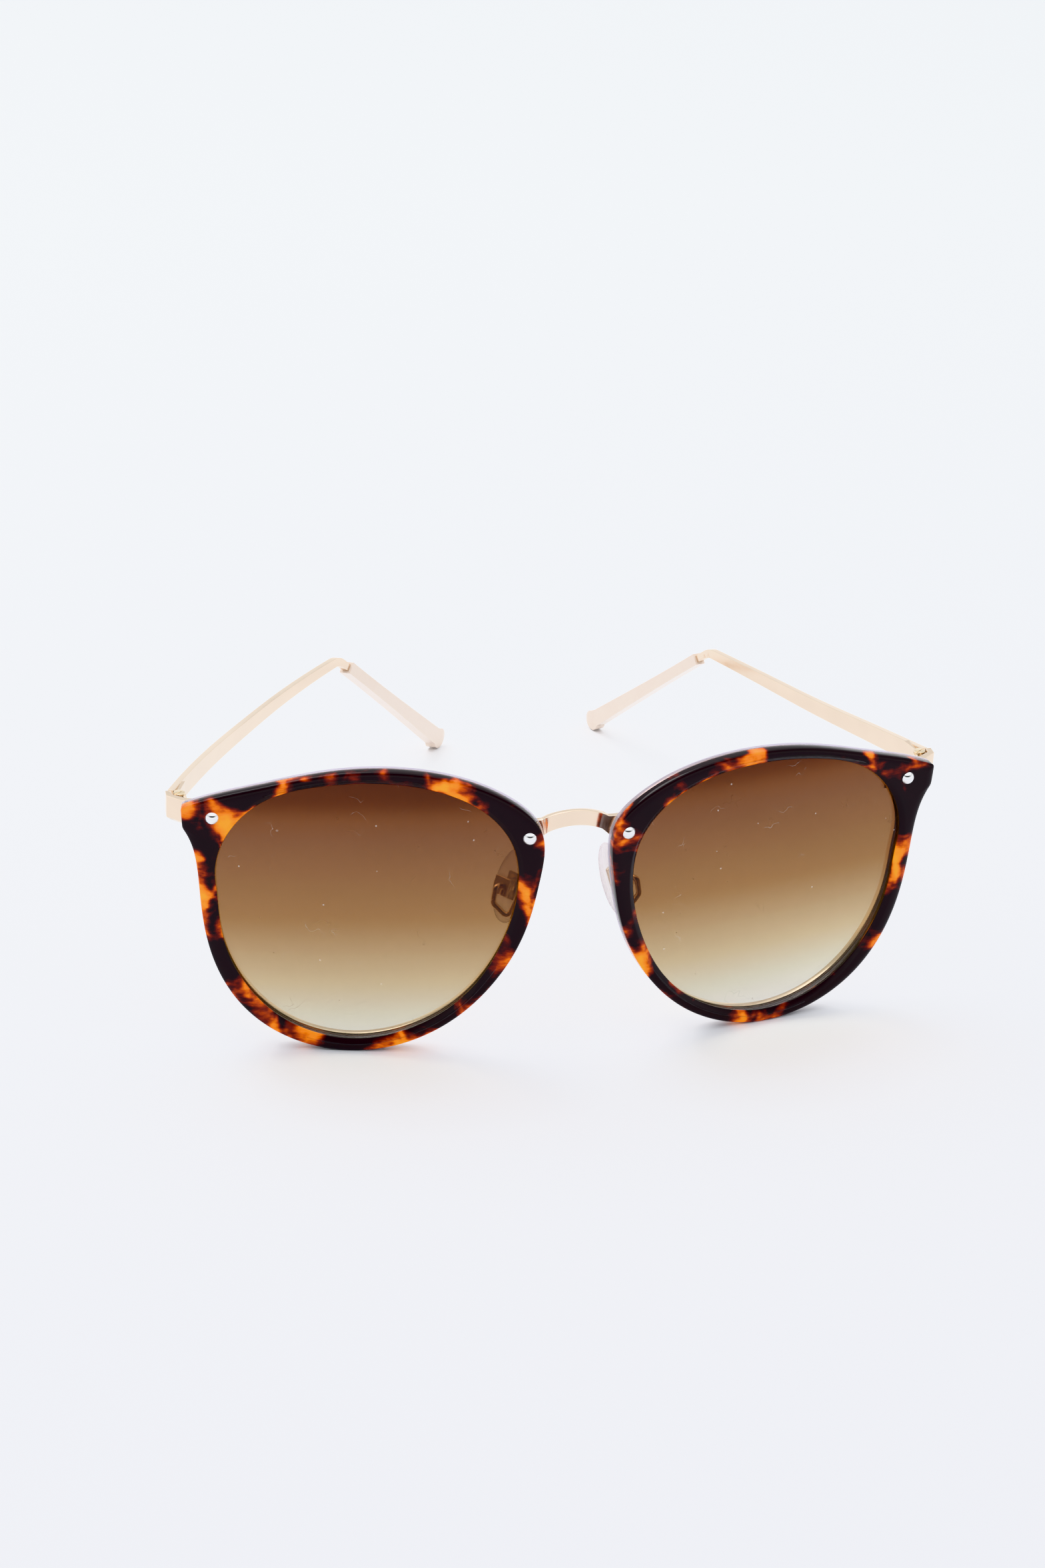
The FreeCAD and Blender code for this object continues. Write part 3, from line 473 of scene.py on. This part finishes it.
def softened(loop, reach):
    """The loop with its corners rounded, by a bell-shaped average along it."""
    step = perimeter(loop) / len(loop)
    span = int(3 * reach / step) + 1
    offsets = np.arange(-span, span + 1)
    weights = np.exp(-0.5 * (offsets * step / reach) ** 2)
    shares = weights / weights.sum()
    return sum(share * np.roll(loop, offset, axis=0) for share, offset in zip(shares, offsets))


def at_angles(loop, angles):
    """Points of a loop in the same directions from the eye's middle as the given angles."""
    turn = np.arctan2(loop[:, 1], loop[:, 0])
    order = np.argsort(turn)
    radius = np.interp(angles, turn[order], np.hypot(loop[:, 0], loop[:, 1])[order], period=2 * math.pi)
    return np.stack([radius * np.cos(angles), radius * np.sin(angles)], axis=1)


def slide_directions(outer, inner):
    """For each pair of points, how to move from the outer one to sink 1 into the ring."""
    towards = inner - outer
    towards /= np.linalg.norm(towards, axis=1)[:, None]

    def slides(loop, way):
        along = np.roll(loop, -1, axis=0) - np.roll(loop, 1, axis=0)
        normal = np.stack([-along[:, 1], along[:, 0]], axis=1) * way
        normal /= np.linalg.norm(normal, axis=1)[:, None]
        return way * towards / np.maximum((way * towards * normal).sum(axis=1), 0.5)[:, None]

    return slides(outer, 1), slides(inner, -1)


# ---- making meshes

def keep_flat(piece):
    """Smooth shading that leaves flat faces flat."""
    normals = piece.modifiers.new("flat faces stay flat", "WEIGHTED_NORMAL")
    normals.weight = FLAT_FACE_WEIGHT


def add_piece(name, verts, faces, body, slot, stands_for):
    """A smooth piece that rides a CAD body and stands for one CAD node."""
    mesh = bpy.data.meshes.new(name)
    mesh.from_pydata([tuple(point) for point in verts], [], faces)
    mesh.validate()
    mesh.shade_smooth()
    mesh.materials.append(looks[slot])
    piece = bpy.data.objects.new(name, mesh)
    bpy.context.scene.collection.objects.link(piece)
    keep_flat(piece)
    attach(piece, body)
    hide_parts(stands_for)


def turned(face, flip):
    """The face, wound the other way round if flip is true."""
    return face[::-1] if flip else face


def ring_faces(count, sections, flip):
    """Quads of a closed ring whose section is closed too."""
    faces = []
    for k in range(count):
        after = (k + 1) % count
        for m in range(sections):
            over = (m + 1) % sections
            here, there = k * sections, after * sections
            faces.append(turned([here + m, there + m, there + over, here + over], flip))
    return faces


def arc(edge, middle, across, deep, start, end, steps):
    """Part of a ring's section: 180 degrees points to the edge, 270 to the front."""
    angles = [math.radians(start + (end - start) * step / steps) for step in range(steps + 1)]
    inset, depth = middle
    return [(edge, inset + across * math.cos(a), depth + deep * math.sin(a)) for a in angles]


def ring_piece(name, node, eye, outer, inner, section, slot):
    """A ring between two outlines; section lists (edge, inset from it, depth)."""
    from_outer, from_inner = slide_directions(outer, inner)
    edges = {"outer": (outer, from_outer), "inner": (inner, from_inner)}
    verts = []
    for k in range(len(outer)):
        for edge, inset, depth in section:
            start, slide = edges[edge]
            verts.append(eye.place(start[k] + slide[k] * inset, depth))
    faces = ring_faces(len(outer), len(section), eye.side > 0)
    add_piece(name, verts, faces, "front", slot, node)


def layer_depths(name, eye):
    """The least and the greatest depth of a CAD node behind the eye's plane."""
    depths = [eye.depth(vertex.co) for vertex in nodes[name].data.vertices]
    return min(depths), max(depths)


def front_rim_section(depth, rebate):
    """The tortoiseshell rim: rounded outside, bevelled towards the lens, rebated behind."""
    section = arc("outer", (BACK_ROUND, depth - BACK_ROUND), BACK_ROUND, BACK_ROUND, 90, 180, 3)
    section += arc("outer", (FRONT_ACROSS, FRONT_DEEP), FRONT_ACROSS, FRONT_DEEP, 180, 270, 9)
    section += [
        ("inner", BEVEL_ACROSS + BEVEL_SOFT, 0),
        ("inner", BEVEL_ACROSS, BEVEL_DEEP * 0.02),
        ("inner", BEVEL_ACROSS - BEVEL_SOFT, BEVEL_DEEP * 0.10),
        ("inner", BEVEL_SOFT, BEVEL_DEEP * 0.86),
        ("inner", BEVEL_SOFT * 0.3, BEVEL_DEEP * 0.95),
        ("inner", 0, BEVEL_DEEP * 1.06),
        ("inner", 0, LIP_DEPTH),
        ("inner", rebate, LIP_DEPTH),
        ("inner", rebate, depth),
    ]
    return section


def plain_section(front, back, radius):
    """A flat layer with lightly rounded edges."""
    near = (radius, front + radius)
    far = (radius, back - radius)
    section = arc("outer", far, radius, radius, 90, 180, 3)
    section += arc("outer", near, radius, radius, 180, 270, 3)
    section += arc("inner", near, radius, radius, 270, 180, 3)
    section += arc("inner", far, radius, radius, 180, 90, 3)
    return section


def lens_piece(eye, edge):
    """A thin curved lens as rings of quads around its middle."""
    low, high = layer_depths("lens_" + eye.word, eye)
    sag = (np.hypot(edge[:, 0], edge[:, 1]).max() ** 2) / (2 * LENS_CURVE)
    count = len(edge)
    verts = []
    for depth in (low, high - sag):
        verts.append(eye.place((0, 0), depth))
        for ring in range(1, LENS_RINGS + 1):
            for point in edge * (ring / LENS_RINGS):
                verts.append(eye.place(point, depth + (point ** 2).sum() / (2 * LENS_CURVE)))
    side = 1 + LENS_RINGS * count
    last = 1 + (LENS_RINGS - 1) * count
    flip = eye.side < 0
    faces = []
    for k in range(count):
        after = (k + 1) % count
        for start, turn in ((0, flip), (side, not flip)):
            first = start + 1
            faces.append(turned([start, first + k, first + after], turn))
            for here in range(first, start + last, count):
                quad = [here + k, here + count + k, here + count + after, here + after]
                faces.append(turned(quad, turn))
        faces.append(turned([last + k, side + last + k, side + last + after, last + after], flip))
    add_piece("gradient_lens_" + eye.word, verts, faces, "front", "tinted_lens", "lens_" + eye.word)


def make_eye(word, side):
    """The four layers of one eye."""
    eye = Eye(word, side)
    rim, layer, wire = "front_rim_" + word, "rim_backing_" + word, "eyewire_" + word
    rim_back, layer_back = layer_depths(layer, eye)
    wire_front, wire_back = layer_depths(wire, eye)
    outline, rebate_outline = outlines(layer, eye, rim_back)[:2]
    outer = softened(evenly(outline, RING_POINTS), CORNER_SOFTENING)
    angles = np.arctan2(outer[:, 1], outer[:, 0])

    def matched(loop):
        return softened(at_angles(loop, angles), CORNER_SOFTENING)

    opening = matched(outlines(rim, eye, LIP_DEPTH)[-1])
    rebate = matched(rebate_outline)
    wire_outer, wire_opening = [matched(loop) for loop in outlines(wire, eye, wire_front)[:2]]
    rim_section = front_rim_section(rim_back, np.linalg.norm(rebate - opening, axis=1).mean())
    layer_section = plain_section(rim_back + LAYER_GAP, layer_back - LAYER_GAP, BACK_ROUND)
    wire_section = plain_section(wire_front, wire_back, BACK_ROUND)
    ring_piece("tortoiseshell_rim_" + word, rim, eye, outer, opening, rim_section, "tortoiseshell")
    ring_piece("clear_layer_" + word, layer, eye, outer, rebate, layer_section, "clear_acetate")
    ring_piece("gold_eyewire_" + word, wire, eye, wire_outer, wire_opening, wire_section, "gold_metal")
    lens_piece(eye, rebate * (1 - LENS_PLAY / np.hypot(rebate[:, 0], rebate[:, 1]).mean()))


def pad_piece(word):
    """A soft oval nose pad in the place of the CAD one, pillow-shaped in section."""
    corners = np.array([vertex.co for vertex in nodes["nose_pad_" + word].data.vertices])
    axes = np.linalg.svd(corners - corners.mean(axis=0), full_matrices=False)[2]
    spread = corners @ axes.T
    middle = (spread.min(axis=0) + spread.max(axis=0)) / 2 @ axes
    half_length, half_width, half_thickness = np.ptp(spread, axis=0) / 2 * PAD_FIT
    if np.linalg.det(axes) < 0:
        axes[2] = -axes[2]
    verts = []
    for ring in range(1, PAD_RINGS):
        tilt = math.pi * ring / PAD_RINGS
        reach = math.sin(tilt) ** PAD_FULLNESS
        lift = math.copysign(abs(math.cos(tilt)) ** PAD_FULLNESS, math.cos(tilt))
        for k in range(PAD_POINTS):
            turn = 2 * math.pi * k / PAD_POINTS
            along = reach * half_length * math.cos(turn)
            across = reach * half_width * math.sin(turn)
            verts.append(middle + np.array((along, across, lift * half_thickness)) @ axes)
    top = len(verts)
    bottom = top + 1
    verts.append(middle + half_thickness * axes[2])
    verts.append(middle - half_thickness * axes[2])
    last = (PAD_RINGS - 2) * PAD_POINTS
    faces = []
    for k in range(PAD_POINTS):
        after = (k + 1) % PAD_POINTS
        faces.append([top, k, after])
        faces.append([bottom, last + after, last + k])
        for here in range(0, last, PAD_POINTS):
            there = here + PAD_POINTS
            faces.append([here + k, there + k, there + after, here + after])
    body = "pad_%s_body" % word
    add_piece("soft_nose_pad_" + word, verts, faces, body, "silicone", "nose_pad_" + word)


def finish_cad_nodes():
    """Give each CAD piece its look, and fine rounded edges if it still shows and is no rivet."""
    for row in frame["record"]["subparts"]:
        node = nodes[row["node"]]
        node.data.materials.clear()
        node.data.materials.append(looks[row["material_slot"]])
        if node.hide_render or row["material_slot"] == "silver_rivet":
            continue
        weld = node.modifiers.new("weld", "WELD")
        weld.merge_threshold = SAME_POINT
        bevel = node.modifiers.new("edges", "BEVEL")
        bevel.width = SMALL_EDGE
        bevel.segments = 2
        bevel.limit_method = "ANGLE"
        bevel.angle_limit = SHARP_FROM
        keep_flat(node)


# ---- floor, light and camera

def make_floor():
    """Pale paper with painted light: a little brighter further back, darker with painted shade near the
    camera.
    """
    bpy.ops.mesh.primitive_plane_add(size=FLOOR_SIZE, location=(0, 0, cad_low.z))
    floor = bpy.context.object
    floor.name = "floor"
    shader = Shader("floor_paper")
    backwards = shader.vector("DOT_PRODUCT", shader.place, (0, 1, 0), "Value")
    further = shader.to_range(backwards, -0.25, 0.45, 0.02, 0.98)
    grain = shader.drift(shader.noise(30, 3.0), -0.02, 0.02)
    # The paper's colour fades from painted shade near the camera to painted light further back.
    colours = shader.ramp(shader.total(further, grain), [(0, FLOOR_NEAR_SHADED), (1, FLOOR_FAR_LIT)])
    shader.drive(colours, "Base Color")
    shader.set(Roughness=0.7)
    floor.data.materials.append(shader.material)


def make_world():
    """A white tent with a greyer band round it and a dark opening where the viewer stands."""
    world = bpy.data.worlds.new("tent")
    bpy.context.scene.world = world
    world.use_nodes = True
    tent = Tree(world.node_tree, "Generated")
    greys = [(position, [grey * tint for tint in TENT_TINT]) for position, grey in TENT_GREYS]
    from_middle = tent.vector("SUBTRACT", tent.place, OPENING_MIDDLE)
    away = tent.vector("LENGTH", tent.vector("MULTIPLY", from_middle, OPENING_STRETCH), output="Value")
    brightness = tent.to_range(away, OPENING_START, OPENING_END, OPENING_BRIGHTNESS,
                               TENT_BRIGHTNESS, "SMOOTHSTEP")
    background = world.node_tree.nodes["Background"]
    tent.link(tent.ramp(tent.height(), greys), background.inputs["Color"])
    tent.link(brightness, background.inputs["Strength"])


def make_lamp():
    """A wide soft lamp overhead, turned towards the object."""
    data = bpy.data.lights.new("overhead", "AREA")
    data.shape = "DISK"
    data.size = LAMP_WIDTH
    data.energy = LAMP_POWER
    lamp = bpy.data.objects.new("overhead", data)
    bpy.context.scene.collection.objects.link(lamp)
    lamp.location = LAMP_PLACE
    lamp.rotation_euler = (-Vector(LAMP_PLACE)).to_track_quat("-Z", "Y").to_euler()


def make_camera():
    """Looks down at the front from a little to the left, aimed past the bridge."""
    flat = Vector((-math.sin(VIEW_AZIMUTH), math.cos(VIEW_AZIMUTH), 0))
    forward = flat * math.cos(VIEW_ELEVATION) - UP * math.sin(VIEW_ELEVATION)
    level_right = flat.cross(UP)
    level_down = forward.cross(level_right)
    right = level_right * math.cos(VIEW_ROLL) - level_down * math.sin(VIEW_ROLL)
    down = level_right * math.sin(VIEW_ROLL) + level_down * math.cos(VIEW_ROLL)
    bridge_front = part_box("bridge")[0].y
    aim = Vector((0, bridge_front - AIM_AHEAD_OF_BRIDGE, cad_low.z + AIM_HEIGHT))
    camera = bpy.data.objects.new("camera", bpy.data.cameras.new("camera"))
    bpy.context.scene.collection.objects.link(camera)
    camera.data.lens = FOCAL_LENGTH
    camera.data.clip_start = CLIP_START
    camera.location = aim - right * AIM_RIGHT - down * AIM_DOWN - forward * VIEW_DISTANCE
    turn = np.array([right, -down, -forward]).T
    camera.rotation_mode = "QUATERNION"
    camera.rotation_quaternion = Matrix(turn.tolist()).to_quaternion()
    bpy.context.scene.camera = camera


# ---- the scene

lens_low, lens_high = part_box("lens_left")
looks = {
    "tortoiseshell": tortoiseshell(cad_low.z, cad_high.z),
    "clear_acetate": clear_plastic("clear_acetate", (0.80, 0.75, 0.80), (0.55, 0.53, 0.62),
                                   0.25, 0.8, 0.05),
    "gold_metal": plated_metal("gold_metal", (0.85, 0.70, 0.555), 0.13),
    "tinted_lens": tinted_lens(lens_low.z, lens_high.z),
    "silver_rivet": plated_metal("silver_rivet", (0.84, 0.84, 0.85), 0.07),
    "screw_steel": plated_metal("screw_steel", (0.84, 0.70, 0.50), 0.16),
    "tip_plastic": tip_plastic(),
    "pad_insert": plated_metal("pad_insert", (0.86, 0.74, 0.58), 0.2),
    "silicone": clear_plastic("silicone", (0.96, 0.94, 0.94), (0.66, 0.60, 0.64), 0.06, 0.85, 0.15),
}
for word, side in SIDES.items():
    make_eye(word, side)
    pad_piece(word)
finish_cad_nodes()
make_floor()
make_world()
make_lamp()
make_camera()
bpy.context.scene.view_settings.view_transform = "Khronos PBR Neutral"
